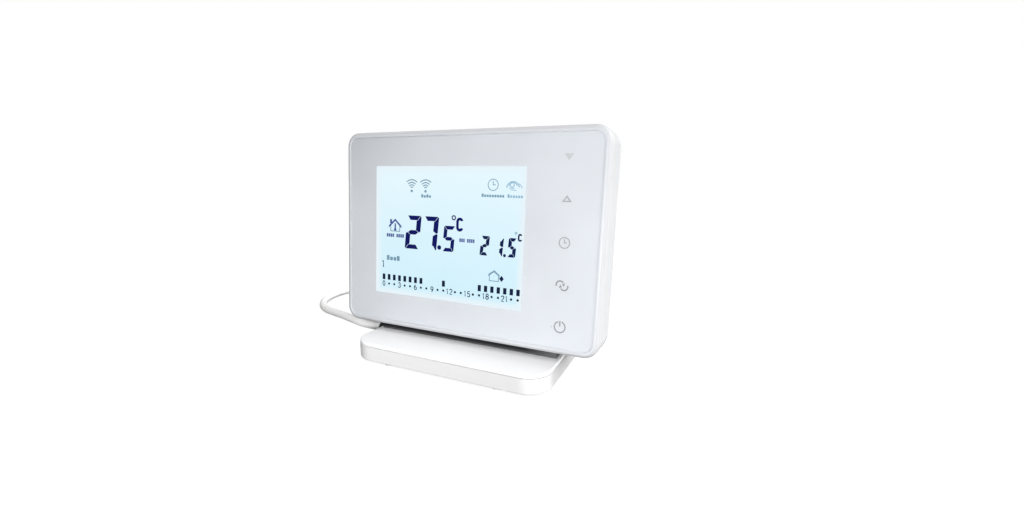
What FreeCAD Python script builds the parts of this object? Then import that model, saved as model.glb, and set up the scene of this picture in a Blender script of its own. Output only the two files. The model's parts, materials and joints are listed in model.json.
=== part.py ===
"""Room thermostat docked on its desk stand, with the stand's low-voltage lead.

Units are millimetres.  The origin is on the table under the middle of the object, +Z is up,
+X is to the right of someone reading the display, and the display faces -Y.

The thermostat's own pieces are drawn lying on their back: X across the display, Y up the
display, Z towards the reader, with Z = 0 at the front face.  One placement then stands them
on the dock and leans them back.  The stand's pieces are drawn where they are.
"""
import FreeCAD, Part
import math
import os

import Sketcher

Vector = FreeCAD.Vector
X_AXIS, Y_AXIS, Z_AXIS = Vector(1, 0, 0), Vector(0, 1, 0), Vector(0, 0, 1)

doc = FreeCAD.newDocument("room_thermostat")
sheet = doc.addObject("Spreadsheet::Sheet", "Sizes")

SIZES = {
    # thermostat case
    "panel_width": 142.0, "panel_height": 101.0, "panel_corner": 7.2, "panel_depth": 24.0,
    "panel_lean": 5.0, "panel_front_y": -15.39, "panel_foot_z": 14.2,
    "wall": 2.0, "rim_width": 2.7, "rim_round": 2.2, "shell_depth": 17.0,
    "glass_thick": 2.0, "glass_sink": 0.15, "glass_corner": 4.6, "tape_thick": 0.15, "tape_width": 4.0,
    # display and its carrier
    "lcd_x": -8.4, "lcd_y": 50.4, "lcd_width": 92.0, "lcd_height": 73.0, "lcd_thick": 2.8,
    "guide_width": 88.0, "guide_height": 66.0, "guide_thick": 2.9,
    "carrier_width": 98.0, "carrier_height": 80.0, "carrier_back": 9.6,
    "strip_length": 85.0, "strip_offset": 35.0,
    "strip_thick": 2.0, "pillar_x": 46.3, "pillar_y": 37.2, "pillar_round": 2.3, "pillar_pilot": 0.95,
    "led_pitch": 12.0, "led_long": 3.0, "led_wide": 0.9, "led_tall": 1.8,
    # circuit board and case fixings
    "board_width": 134.0, "board_height": 87.0, "board_front": 10.6, "board_thick": 1.6,
    "boss_x": 62.0, "boss_low": 11.0, "boss_high": 90.0, "boss_round": 3.0, "boss_pilot": 1.25,
    "vent_x": 46.0, "vent_y": 20.0, "vent_pitch": 4.0, "vent_wide": 1.6, "vent_tall": 14.0,
    "key_x": 53.0, "key_middle": 50.6, "key_pitch": 18.7, "key_hole": 4.5,
    "screw_well": 1.8, "wall_hole_span": 60.0, "wall_hole_round": 2.2, "wall_hole_y": 60.0,
    # dock: tongues, contact pins and back rest
    "tongue_x": 35.0, "tongue_width": 10.0, "tongue_front": 12.5, "tongue_thick": 2.4,
    "tongue_tall": 5.0, "tongue_play": 0.3,
    "pin_x": 5.0, "pin_depth": 12.0, "pin_round": 1.0, "pin_play": 0.05, "pin_rise": 0.5,
    "pad_sink": 0.6, "rest_gap": 0.3, "rest_thick": 3.0, "rest_width": 46.0, "rest_tall": 45.0,
    "cradle_width": 101.0, "cradle_front": -10.0, "cradle_step": 6.3, "cradle_back": 22.0,
    "cradle_deck": 10.3, "foot_back": 21.0, "foot_thick": 2.5, "rest_screw_x": 14.0, "rest_screw_y": 15.0,
    # stand
    "stand_width": 105.6, "stand_depth": 66.0, "stand_corner": 12.0,
    "feet_tall": 0.8, "floor_top": 2.8, "base_top": 8.2, "cover_low": 8.4, "cover_top": 9.8,
    "foot_round": 3.0, "foot_recess": 0.8,
    "front_foot_x": 30.0, "front_foot_y": -29.3, "rear_foot_x": 32.0, "rear_foot_y": 26.0,
    "screw_x": 43.0, "screw_y": 24.0, "screw_rear_y": 27.0, "screw_clear": 1.35, "screw_pilot": 1.25,
    "post_top": 5.8, "post_foot": 6.0, "cord_gate": 6.6,
    "cradle_screw_x": 30.0, "cradle_screw_front": 3.6, "cradle_screw_rear": 16.5,
    # lead
    "cord_round": 2.4, "cord_exit_x": -59.0, "cord_exit_y": -5.2, "cord_exit_z": 7.8,
    "coil_x": -100.0, "coil_y": 66.7, "coil_inner": 24.7, "coil_outer": 29.5, "tie_thick": 0.5,
}


def fill_sheet():
    for row, (name, number) in enumerate(SIZES.items(), start=1):
        sheet.set(f"A{row}", name)
        sheet.set(f"B{row}", str(number))
        sheet.setAlias(f"B{row}", name)
    doc.recompute()


fill_sheet()


def cell(text):
    """An expression in sheet aliases, with each alias written as Sizes.alias."""
    words = []
    word = ""
    for character in text + " ":
        if character.isalnum() or character in "_.":
            word += character
            continue
        words.append("Sizes." + word if word in SIZES else word)
        words.append(character)
        word = ""
    return "".join(words).strip()


def value(text):
    """The number that an expression in sheet aliases gives now."""
    number = sheet.evalExpression(cell(text).replace("Sizes.", ""))
    return float(getattr(number, "Value", number))


class Piece:
    """One PartDesign body made of sketches on its own XY or YZ plane.

    Every pad and pocket spans from a low level up to a high level, given as expressions."""

    def __init__(self, label, placement=None):
        self.body = doc.addObject("PartDesign::Body", label)
        self.body.Label = label
        if placement is not None:
            self.body.Placement = placement

    def sketch(self, shapes, level, role="XY_Plane"):
        plane = next(item for item in self.body.Origin.OriginFeatures if item.Role == role)
        sketch = self.body.newObject("Sketcher::SketchObject", self.body.Label + "_sketch")
        sketch.AttachmentSupport = [(plane, "")]
        sketch.MapMode = "FlatFace"
        sketch.setExpression("AttachmentOffset.Base.z", cell(level))
        for shape in shapes:
            shape(sketch)
        return sketch

    def pad(self, low, high, *shapes):
        feature = self.body.newObject("PartDesign::Pad", self.body.Label + "_pad")
        feature.Profile = self.sketch(shapes, low)
        feature.setExpression("Length", cell(f"({high}) - ({low})"))
        doc.recompute()
        return self

    def pad_across(self, width, *shapes):
        """Pad a side profile drawn in the YZ plane, half the width to each side."""
        feature = self.body.newObject("PartDesign::Pad", self.body.Label + "_pad")
        feature.Profile = self.sketch(shapes, "0", "YZ_Plane")
        feature.Midplane = True
        feature.setExpression("Length", cell(width))
        doc.recompute()
        return self

    def pocket(self, low, high, *shapes):
        before = self.body.Shape.Volume
        feature = self.body.newObject("PartDesign::Pocket", self.body.Label + "_pocket")
        feature.Profile = self.sketch(shapes, low)
        feature.Reversed = True
        feature.setExpression("Length", cell(f"({high}) - ({low})"))
        doc.recompute()
        if self.body.Shape.Volume > before - 1e-6:
            raise ValueError(f"a pocket of {self.body.Label} cuts nothing")
        return self

    def round_edges(self, level, radius, longer_than=0.0):
        """Fillet the outer edges that lie at one level."""
        rounded = self.body.Tip
        shape = rounded.Shape
        box = shape.BoundBox
        names = []
        for number, edge in enumerate(shape.Edges, start=1):
            edge_box = edge.BoundBox
            flat = abs(edge_box.ZMin - value(level)) < 1e-4 and edge_box.ZLength < 1e-4
            corner = value(longer_than)
            outside = (edge_box.XMin < box.XMin + corner or edge_box.XMax > box.XMax - corner
                       or edge_box.YMin < box.YMin + corner or edge_box.YMax > box.YMax - corner)
            if flat and outside:
                names.append(f"Edge{number}")
        feature = self.body.newObject("PartDesign::Fillet", self.body.Label + "_fillet")
        feature.Base = (rounded, names)
        feature.setExpression("Radius", cell(radius))
        doc.recompute()
        return self

    def primitive(self, kind, placement, **sizes):
        """Add or take away a PartDesign primitive that stands at its own placement."""
        feature = self.body.newObject("PartDesign::" + kind, self.body.Label + "_" + kind)
        feature.Placement = placement
        for name, text in sizes.items():
            feature.setExpression(name, cell(text))
        doc.recompute()
        return self


def rectangle(width, height, radius="0", centre_x="0", centre_y="0"):
    """A rectangle outline, with rounded corners where radius isn't 0."""
    def draw(sketch):
        half_w, half_h = value(width) / 2, value(height) / 2
        mid_x, mid_y, corner = value(centre_x), value(centre_y), value(radius)
        left, right = mid_x - half_w, mid_x + half_w
        low, high = mid_y - half_h, mid_y + half_h
        ends = [((left + corner, low), (right - corner, low)),
                ((right, low + corner), (right, high - corner)),
                ((right - corner, high), (left + corner, high)),
                ((left, high - corner), (left, low + corner))]
        centres = [(right - corner, low + corner), (right - corner, high - corner),
                   (left + corner, high - corner), (left + corner, low + corner)]
        lines, arcs = [], []
        for quarter, (end, centre) in enumerate(zip(ends, centres)):
            lines.append(sketch.addGeometry(Part.LineSegment(Vector(*end[0], 0), Vector(*end[1], 0))))
            if corner:
                circle = Part.Circle(Vector(*centre, 0), Z_AXIS, corner)
                start = math.radians(90 * quarter - 90)
                arcs.append(sketch.addGeometry(Part.ArcOfCircle(circle, start, start + math.pi / 2)))
        for quarter in range(4):
            following = lines[(quarter + 1) % 4]
            if corner:
                sketch.addConstraint(Sketcher.Constraint("Tangent", lines[quarter], 2, arcs[quarter], 1))
                sketch.addConstraint(Sketcher.Constraint("Tangent", arcs[quarter], 2, following, 1))
            else:
                sketch.addConstraint(Sketcher.Constraint("Coincident", lines[quarter], 2, following, 1))
        for quarter, direction in enumerate(("Horizontal", "Vertical") * 2):
            sketch.addConstraint(Sketcher.Constraint(direction, lines[quarter]))
        for arc in arcs[1:]:
            sketch.addConstraint(Sketcher.Constraint("Equal", arcs[0], arc))
        if corner:
            bind(sketch, Sketcher.Constraint("Radius", arcs[0], corner), radius)
        place(sketch, "DistanceX", lines[3], 1, f"({centre_x}) - ({width}) / 2")
        place(sketch, "DistanceX", lines[1], 1, f"({centre_x}) + ({width}) / 2")
        place(sketch, "DistanceY", lines[0], 1, f"({centre_y}) - ({height}) / 2")
        place(sketch, "DistanceY", lines[2], 1, f"({centre_y}) + ({height}) / 2")
    return draw


def disc(radius, centre_x="0", centre_y="0"):
    def draw(sketch):
        centre = Vector(value(centre_x), value(centre_y), 0)
        circle = sketch.addGeometry(Part.Circle(centre, Z_AXIS, value(radius)))
        bind(sketch, Sketcher.Constraint("Radius", circle, value(radius)), radius)
        place(sketch, "DistanceX", circle, 3, centre_x)
        place(sketch, "DistanceY", circle, 3, centre_y)
    return draw


def polygon(*corners):
    """A closed outline through corners, each an (x, y) pair of expressions."""
    def draw(sketch):
        points = [Vector(value(x), value(y), 0) for x, y in corners]
        count = len(points)
        lines = [sketch.addGeometry(Part.LineSegment(points[k], points[(k + 1) % count]))
                 for k in range(count)]
        for k in range(count):
            following = lines[(k + 1) % count]
            sketch.addConstraint(Sketcher.Constraint("Coincident", lines[k], 2, following, 1))
            place(sketch, "DistanceX", lines[k], 1, corners[k][0])
            place(sketch, "DistanceY", lines[k], 1, corners[k][1])
    return draw


def bind(sketch, constraint, text):
    number = sketch.addConstraint(constraint)
    sketch.setExpression(f"Constraints[{number}]", cell(text))


def place(sketch, kind, geometry, point, text):
    """Fix one coordinate of a sketch point, measured from the sketch's origin."""
    bind(sketch, Sketcher.Constraint(kind, -1, 1, geometry, point, value(text)), text)


def corners_of(x, *levels):
    """The (x, y) expression pairs at plus and minus x for each level."""
    return [(side + x, level) for level in levels for side in ("", "-")]


def shape_piece(label, shape, placement=None):
    """A sub-part whose shape is made directly, for what sketches don't suit."""
    feature = doc.addObject("Part::Feature", label)
    feature.Label = label
    feature.Shape = shape
    if placement is not None:
        feature.Placement = placement
    return feature


def cylinder(radius, start, end):
    """A solid cylinder between two points."""
    along = end - start
    return Part.makeCylinder(radius, along.Length, start, along)


def block(low, high):
    """A solid box between its lowest and highest corners."""
    return Part.makeBox(high[0] - low[0], high[1] - low[1], high[2] - low[2], Vector(*low))


def screw(head_centre, along, head_round, head_tall, shank_round, shank_long):
    """A pan-head screw: head_centre is the middle of the head's seat, along points down the shank."""
    head = cylinder(head_round, head_centre - along * head_tall, head_centre)
    shank = cylinder(shank_round, head_centre - along * 0.2, head_centre + along * shank_long)
    body = head.fuse(shank).removeSplitter()
    slot_wide, slot_deep = 0.3 * head_round, 0.45 * head_tall
    slot = Part.makeBox(2.8 * head_round, slot_wide, slot_deep)
    slot.translate(Vector(-1.4 * head_round, -slot_wide / 2, 0))
    slot.Placement = FreeCAD.Placement(head_centre - along * head_tall,
                                       FreeCAD.Rotation(Z_AXIS, along)).multiply(slot.Placement)
    return body.cut(slot)


def coil_spring(radius, wire, start, along, tall, turns):
    """A compression spring of round wire, standing on start."""
    steps = 12 * turns
    rise = (tall - wire) / steps
    points = [Vector(radius * math.cos(math.tau * step / 12), radius * math.sin(math.tau * step / 12),
                     wire / 2 + rise * step) for step in range(steps + 1)]
    helix = Part.BSplineCurve()
    helix.interpolate(points)
    ring = Part.Wire([Part.makeCircle(wire / 2, points[0], helix.tangent(0)[0])])
    spring = Part.Wire([helix.toShape()]).makePipeShell([ring], True, True)
    spring.Placement = FreeCAD.Placement(start, FreeCAD.Rotation(Z_AXIS, along))
    return spring


# ---------------------------------------------------------------- placements

lean = value("panel_lean")
PANEL = FreeCAD.Placement(Vector(0, value("panel_front_y"), value("panel_foot_z")),
                          FreeCAD.Rotation(X_AXIS, 90 - lean))

CASE_MIDDLE = "panel_height / 2"
GLASS_WIDTH = "panel_width - 2 * rim_width - 0.3"
GLASS_HEIGHT = "panel_height - 2 * rim_width - 0.3"
PLATE_FRONT = "-glass_thick - glass_sink - tape_thick"
PLATE_BACK = f"{PLATE_FRONT} - wall"
BOARD_BACK = "-board_front - board_thick"
SLOT_DEPTH_LOW = "-tongue_front - tongue_thick - tongue_play"
SLOT_DEPTH_HIGH = "-tongue_front + tongue_play"
KEYS = [f"key_middle + {step} * key_pitch" for step in (-2, -1, 0, 1, 2)]
BOSSES = corners_of("boss_x", "boss_low", "boss_high")
PILLARS = [(f"lcd_x + {side} * pillar_x", f"lcd_y + {row} * pillar_y")
           for side in (-1, 1) for row in (-1, 1)]


# Blocks on the back of the board: left, foot, width, height, thickness, and height off the board.
BEHIND_BOARD = {
    "controller_chip": (-6, 40, 12, 12, 1.4, 0),
    "radio_board": (12, 62, 18, 26, 0.8, 0),
    "radio_shield": (13.5, 64, 15, 16, 2.4, 0.8),
    "cell_holder": (-52, 28, 22, 18, 2.2, 0),
}


# ---------------------------------------------------------------- thermostat

def make_front_shell():
    shell = Piece("front_shell", PANEL)
    outline = rectangle("panel_width", "panel_height", "panel_corner", "0", CASE_MIDDLE)
    shell.pad("-shell_depth", "0", outline)
    shell.round_edges("0", "rim_round", "panel_corner")
    shell.pocket(PLATE_FRONT, "0",
                 rectangle(f"{GLASS_WIDTH} + 0.3", f"{GLASS_HEIGHT} + 0.3", "glass_corner + 0.15",
                           "0", CASE_MIDDLE))
    shell.pocket("-shell_depth", PLATE_BACK,
                 rectangle("panel_width - 2 * wall", "panel_height - 2 * wall", "panel_corner - wall",
                           "0", CASE_MIDDLE))
    shell.pocket(PLATE_BACK, PLATE_FRONT,
                 rectangle("lcd_width + 0.6", "lcd_height + 0.6", "1", "lcd_x", "lcd_y"),
                 *[disc("key_hole", "key_x", row) for row in KEYS])
    shell.pad("-shell_depth", PLATE_BACK, *[disc("boss_round", *spot) for spot in BOSSES])
    shell.pocket("-shell_depth", "-shell_depth + 10", *[disc("boss_pilot", *spot) for spot in BOSSES])
    shell.pocket(SLOT_DEPTH_LOW, SLOT_DEPTH_HIGH,
                 *[rectangle("tongue_width + 2 * tongue_play", "wall + 0.4", "0", side + "tongue_x",
                             "wall / 2") for side in ("", "-")])
    shell.pocket("-pin_depth - 1.5", "-pin_depth + 1.5",
                 *[rectangle("5", "wall + 0.4", "0", side + "pin_x", "wall / 2") for side in ("", "-")])


def make_glass():
    glass = Piece("touch_glass", PANEL)
    glass.pad("-glass_thick - glass_sink", "-glass_sink",
              rectangle(GLASS_WIDTH, GLASS_HEIGHT, "glass_corner", "0", CASE_MIDDLE))
    tape = Piece("glass_tape", PANEL)
    tape.pad(PLATE_FRONT, "-glass_thick - glass_sink",
             rectangle(f"{GLASS_WIDTH} - 0.4", f"{GLASS_HEIGHT} - 0.4", "glass_corner - 0.2",
                       "0", CASE_MIDDLE),
             rectangle(f"{GLASS_WIDTH} - 0.4 - 2 * tape_width", f"{GLASS_HEIGHT} - 0.4 - 2 * tape_width",
                       "1.2", "0", CASE_MIDDLE))


def make_display():
    """The liquid crystal cell, its light guide, the frame that holds both, and the contact strips."""
    lcd_front = f"{PLATE_FRONT} - 0.2"
    lcd_back = f"{lcd_front} - lcd_thick"
    guide_front = f"{lcd_back} - 0.1"
    guide_back = f"{guide_front} - guide_thick"
    Piece("lcd_cell", PANEL).pad(lcd_back, lcd_front,
                                 rectangle("lcd_width", "lcd_height", "0.6", "lcd_x", "lcd_y"))
    Piece("light_guide", PANEL).pad(guide_back, guide_front,
                                    rectangle("guide_width", "guide_height", "0.6", "lcd_x", "lcd_y"))
    frame = Piece("display_frame", PANEL)
    frame.pad("-carrier_back", f"{PLATE_BACK} - 0.1",
              rectangle("carrier_width", "carrier_height", "2", "lcd_x", "lcd_y"))
    frame.pocket(guide_front, f"{PLATE_BACK} - 0.1",
                 rectangle("lcd_width + 0.4", "lcd_height + 0.4", "0", "lcd_x", "lcd_y"))
    frame.pocket(f"{guide_back} - 0.1", guide_front,
                 rectangle("guide_width + 1.8", "guide_height + 0.2", "0", "lcd_x + 0.8", "lcd_y"))
    strips = [("lcd_x", f"lcd_y {sign} strip_offset") for sign in ("+", "-")]
    frame.pocket("-carrier_back", guide_front,
                 *[rectangle("strip_length + 0.4", "strip_thick + 0.3", "0", *spot) for spot in strips])
    frame.pad("-board_front", "-carrier_back", *[disc("pillar_round", *spot) for spot in PILLARS])
    frame.pocket("-board_front", "-board_front + 4", *[disc("pillar_pilot", *spot) for spot in PILLARS])
    for label, spot in zip(("contact_strip_upper", "contact_strip_lower"), strips):
        Piece(label, PANEL).pad("-board_front", lcd_back,
                                rectangle("strip_length", "strip_thick", "0", *spot))
    led_x = value("lcd_x + guide_width / 2") + 0.3
    led_z = value(guide_back) + 0.4
    leds = [Part.makeBox(value("led_wide"), value("led_long"), value("led_tall"),
                         Vector(led_x, value(f"lcd_y + {row} * led_pitch - led_long / 2"), led_z))
            for row in range(-2, 3)]
    shape_piece("backlight_leds", Part.makeCompound(leds), PANEL)


def make_board():
    """The circuit board with what is soldered and screwed to it."""
    board = Piece("main_board", PANEL)
    board.pad(BOARD_BACK, "-board_front",
              rectangle("board_width", "board_height", "2", "0", "boss_low - 5 + board_height / 2"))
    board.pocket(BOARD_BACK, "-board_front",
                 *[disc("boss_round + 0.3", *spot) for spot in BOSSES],
                 *[disc("1.1", *spot) for spot in PILLARS])
    back = value(BOARD_BACK)
    for label, (left, foot, width, height, thick, lift) in BEHIND_BOARD.items():
        corner = Vector(left, foot, back - lift - thick)
        shape_piece(label, Part.makeBox(width, height, thick, corner), PANEL)
    buzzer = Vector(-34, 74, back)
    shape_piece("buzzer", cylinder(6, buzzer - Z_AXIS * 5, buzzer), PANEL)
    make_backup_cell(back)
    make_repeated_parts(back)
    bead_reach, lead_spread = 4.5, 0.6
    foot = Vector(-60, 22, back)
    sensor = Part.makeSphere(1.3, foot - Z_AXIS * bead_reach)
    for side in (-lead_spread, lead_spread):
        sensor = sensor.fuse(cylinder(0.3, foot + X_AXIS * side, foot + Vector(side, 0, 0.3 - bead_reach)))
    shape_piece("temperature_sensor", sensor, PANEL)
    spring_tall = value("board_front - glass_thick - glass_sink")
    springs = [coil_spring(3.0, 0.5, Vector(value("key_x"), value(row), -value("board_front")), Z_AXIS,
                           spring_tall, 5) for row in KEYS]
    shape_piece("touch_springs", Part.makeCompound(springs), PANEL)
    fixings = [screw(Vector(value(x), value(y), back), Z_AXIS, 1.9, 1.2, 0.9, 5) for x, y in PILLARS]
    shape_piece("board_screws", Part.makeCompound(fixings), PANEL)


def make_backup_cell(back):
    """A coin cell in its holder, held down by a bent clip that stands on the board beside it."""
    cell_round, cell_thick, holder_thick, clip_thick = 8.0, 3.2, 2.2, 0.6
    middle = Vector(-41, 37, back - holder_thick)
    shape_piece("backup_cell", cylinder(cell_round, middle - Z_AXIS * cell_thick, middle), PANEL)
    clip_back = middle.z - cell_thick - clip_thick
    upright = block((-43, 27, clip_back), (-39, 28, back))
    arm = block((-43, 28, clip_back), (-39, 40, clip_back + clip_thick))
    shape_piece("cell_clip", upright.fuse(arm).removeSplitter(), PANEL)


def make_repeated_parts(back):
    """The row of capacitors and the small chips, each kind one node."""
    can_round, can_tall, can_row = 3.15, 5.8, 22.0
    cans = [cylinder(can_round, Vector(x, can_row, back - can_tall), Vector(x, can_row, back))
            for x in (14, 22, 30)]
    shape_piece("capacitors", Part.makeCompound(cans), PANEL)
    chip_width, chip_height, chip_thick = 5.0, 4.0, 1.2
    chips = [Part.makeBox(chip_width, chip_height, chip_thick, Vector(x, y, back - chip_thick))
             for x, y in ((-20, 20), (10, 34), (-24, 56), (14, 56))]
    shape_piece("small_chips", Part.makeCompound(chips), PANEL)


def make_rear_cover():
    cover = Piece("rear_cover", PANEL)
    cover.pad("-panel_depth", "-shell_depth",
              rectangle("panel_width - 0.6", "panel_height - 0.6", "panel_corner - 0.3", "0", CASE_MIDDLE))
    cover.round_edges("-panel_depth", "2.6", "panel_corner")
    cover.pad("-shell_depth", "-shell_depth + 1.4",
              rectangle("panel_width - 2 * wall - 0.3", "panel_height - 2 * wall - 0.3",
                        "panel_corner - wall - 0.15", "0", CASE_MIDDLE))
    cover.pocket("-panel_depth + wall", "-shell_depth + 1.4",
                 rectangle("panel_width - 4 * wall", "panel_height - 4 * wall", "panel_corner - 2 * wall",
                           "0", CASE_MIDDLE))
    cover.pad("-panel_depth + wall", "-shell_depth", *[disc("3.6", *spot) for spot in BOSSES])
    cover.pocket("-panel_depth", "-shell_depth", *[disc("1.5", *spot) for spot in BOSSES])
    cover.pocket("-panel_depth", "-panel_depth + screw_well", *[disc("2.9", *spot) for spot in BOSSES])
    holes = [disc("wall_hole_round", side + "wall_hole_span / 2", "wall_hole_y") for side in ("", "-")]
    vents = [rectangle("vent_wide", "vent_tall", "0.7", f"{side} * vent_x + {step} * vent_pitch", "vent_y")
             for side in (-1, 1) for step in (-1.5, -0.5, 0.5, 1.5)]
    cover.pocket("-panel_depth", "-panel_depth + wall", *holes, *vents)
    seat = value("-panel_depth + screw_well")
    fixings = [screw(Vector(value(x), value(y), seat), Z_AXIS, 2.6, 1.5, 1.2, 10) for x, y in BOSSES]
    shape_piece("case_screws", Part.makeCompound(fixings), PANEL)


def make_dock_pads():
    """The two charging pads in the thermostat's underside and the leads from them to the board."""
    pin_x, depth, sink = value("pin_x"), value("pin_depth"), value("pad_sink")
    pad_top, lead_top, lead_depth = 3.0, 9.0, -depth - 0.9
    pads = [block((x - 2.5, sink, -depth - 1.5), (x + 2.5, pad_top, -depth + 1.5)) for x in (-pin_x, pin_x)]
    shape_piece("dock_pads", Part.makeCompound(pads), PANEL)
    leads = [cylinder(0.5, Vector(x, pad_top, lead_depth), Vector(x, lead_top, lead_depth))
             for x in (-pin_x, pin_x)]
    shape_piece("pad_leads", Part.makeCompound(leads), PANEL)


# ---------------------------------------------------------------- stand

def seat_height(y):
    """Height of the dock's seat: the plane that the thermostat's underside rests on."""
    return f"panel_foot_z - (({y}) - panel_front_y) * tan(panel_lean)"


def make_base():
    base = Piece("stand_base")
    base.pad("feet_tall", "base_top", rectangle("stand_width", "stand_depth", "stand_corner"))
    base.round_edges("feet_tall", "0.6", "stand_corner")
    base.pocket("floor_top", "base_top",
                rectangle("stand_width - 2 * wall", "stand_depth - 2 * wall", "stand_corner - wall"))
    screws = corners_of("screw_x", "-screw_y") + corners_of("screw_x", "screw_rear_y")
    base.pad("floor_top", "post_top", *[disc("3.2", *spot) for spot in screws])
    under = corners_of("cradle_screw_x", "cradle_screw_front", "cradle_screw_rear")
    base.pocket("feet_tall", "post_top", *[disc("screw_clear", *spot) for spot in screws])
    base.pocket("feet_tall", "floor_top", *[disc("screw_clear", *spot) for spot in under])
    base.pocket("feet_tall", "feet_tall + 1", *[disc("2.7", *spot) for spot in screws + under])
    base.pocket("feet_tall", "feet_tall + foot_recess",
                *[disc("foot_round", *spot) for spot in corners_of("front_foot_x", "front_foot_y")],
                *[disc("foot_round", *spot) for spot in corners_of("rear_foot_x", "rear_foot_y")])
    base.pocket("cord_exit_z - 2.9", "base_top",
                rectangle("4", "cord_gate", "0", "-stand_width / 2 + 1", "cord_exit_y"))
    shank = [Vector(value(x), value(y), value("feet_tall") + 1) for x, y in screws]
    shape_piece("base_screws",
                Part.makeCompound([screw(spot, Z_AXIS, 2.4, 0.9, 1.2, 6.2) for spot in shank]))
    shank = [Vector(value(x), value(y), value("feet_tall") + 1) for x, y in under]
    shape_piece("cradle_screws",
                Part.makeCompound([screw(spot, Z_AXIS, 2.4, 0.9, 1.2, 5.6) for spot in shank]))


def make_cover():
    cover = Piece("stand_cover")
    cover.pad("cover_low", "cover_top",
              rectangle("stand_width - 0.6", "stand_depth - 0.6", "stand_corner - 0.3"))
    cover.round_edges("cover_top", "0.5", "stand_corner")
    cover.pad("cover_low - 1.5", "cover_low",
              rectangle("stand_width - 2 * wall - 0.3", "stand_depth - 2 * wall - 0.3",
                        "stand_corner - wall - 0.15"),
              rectangle("stand_width - 2 * wall - 3.3", "stand_depth - 2 * wall - 3.3",
                        "stand_corner - wall - 1.65"))
    screws = corners_of("screw_x", "-screw_y") + corners_of("screw_x", "screw_rear_y")
    cover.pad("post_foot", "cover_low", *[disc("2.6", *spot) for spot in screws])
    cover.pocket("post_foot", "cover_top - 1", *[disc("screw_pilot", *spot) for spot in screws])
    opening = "cradle_back - cradle_front + 0.2"
    cover.pocket("post_foot", "cover_top",
                 rectangle("cradle_width + 0.2", opening, "0", "0", "(cradle_back + cradle_front) / 2"))
    cover.pocket("post_foot", "cover_top",
                 rectangle("4", "cord_gate", "0", "-stand_width / 2 + 1", "cord_exit_y"))


def make_feet_and_ballast():
    spots = corners_of("front_foot_x", "front_foot_y") + corners_of("rear_foot_x", "rear_foot_y")
    feet = [cylinder(value("foot_round") - 0.05, Vector(value(x), value(y), 0),
                     Vector(value(x), value(y), value("feet_tall + foot_recess"))) for x, y in spots]
    shape_piece("rubber_feet", Part.makeCompound(feet))
    ballast = Piece("ballast_plate")
    ballast.pad("floor_top", "floor_top + 3", rectangle("78", "15", "2", "0", "cradle_front - 9.5"))


def make_cradle():
    """The dark dock: a block with the leaning seat, two tongues and the contact pins' holes."""
    cradle = Piece("dock_cradle")
    cradle.pad_across("cradle_width", polygon(
        ("cradle_front", "floor_top"), ("cradle_back", "floor_top"), ("cradle_back", "cradle_deck"),
        ("cradle_step", "cradle_deck"), ("cradle_step", seat_height("cradle_step")),
        ("cradle_front", seat_height("cradle_front"))))
    cradle.pocket("floor_top", "panel_foot_z - 6", rectangle("32", "9.2", "0", "0", "-3.8"))
    cradle.pocket("floor_top", "cord_exit_z + 3.2",
                  rectangle("cradle_width / 2 - 15", "6.2", "0", "-(cradle_width / 2 + 15) / 2 ",
                            "cord_exit_y"))
    under = corners_of("cradle_screw_x", "cradle_screw_front", "cradle_screw_rear")
    above = corners_of("rest_screw_x", "rest_screw_y")
    cradle.pocket("floor_top", "floor_top + 5.2", *[disc("screw_pilot", *spot) for spot in under])
    cradle.pocket("cradle_deck - 5.3", "cradle_deck", *[disc("screw_pilot", *spot) for spot in above])
    for side in (-1, 1):
        corner = Vector(side * value("tongue_x") - value("tongue_width") / 2, -1,
                        -value("tongue_front + tongue_thick"))
        cradle.primitive("AdditiveBox", PANEL.multiply(FreeCAD.Placement(corner, FreeCAD.Rotation())),
                         Length="tongue_width", Width="tongue_tall + 1", Height="tongue_thick")
        foot = Vector(side * value("pin_x"), -8, -value("pin_depth"))
        along = FreeCAD.Rotation(Z_AXIS, Y_AXIS)
        cradle.primitive("SubtractiveCylinder", PANEL.multiply(FreeCAD.Placement(foot, along)),
                         Radius="pin_round + 0.55", Height="9")


def rest_face(depth, up):
    """Y and Z of a point on the leaning back rest: depth behind the display, up the panel."""
    across = f"panel_front_y + ({depth}) * cos(panel_lean) + ({up}) * sin(panel_lean)"
    height = f"panel_foot_z - ({depth}) * sin(panel_lean) + ({up}) * cos(panel_lean)"
    return across, height


def make_back_rest():
    front, back = "panel_depth + rest_gap", "panel_depth + rest_gap + rest_thick"
    foot_top = "cradle_deck + foot_thick"
    low_front = f"(cradle_deck - panel_foot_z + ({front}) * sin(panel_lean)) / cos(panel_lean)"
    low_back = f"({foot_top} - panel_foot_z + ({back}) * sin(panel_lean)) / cos(panel_lean)"
    rest = Piece("back_rest")
    rest.pad_across("rest_width", polygon(
        rest_face(front, low_front), ("foot_back", "cradle_deck"), ("foot_back", foot_top),
        rest_face(back, low_back), rest_face(back, "rest_tall"), rest_face(front, "rest_tall")))
    spots = corners_of("rest_screw_x", "rest_screw_y")
    rest.pocket("cradle_deck", foot_top, *[disc("screw_clear", *spot) for spot in spots])
    seat = value(foot_top)
    fixings = [screw(Vector(value(x), value(y), seat), -Z_AXIS, 2.4, 1.4, 1.2, 6) for x, y in spots]
    shape_piece("rest_screws", Part.makeCompound(fixings))


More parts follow.
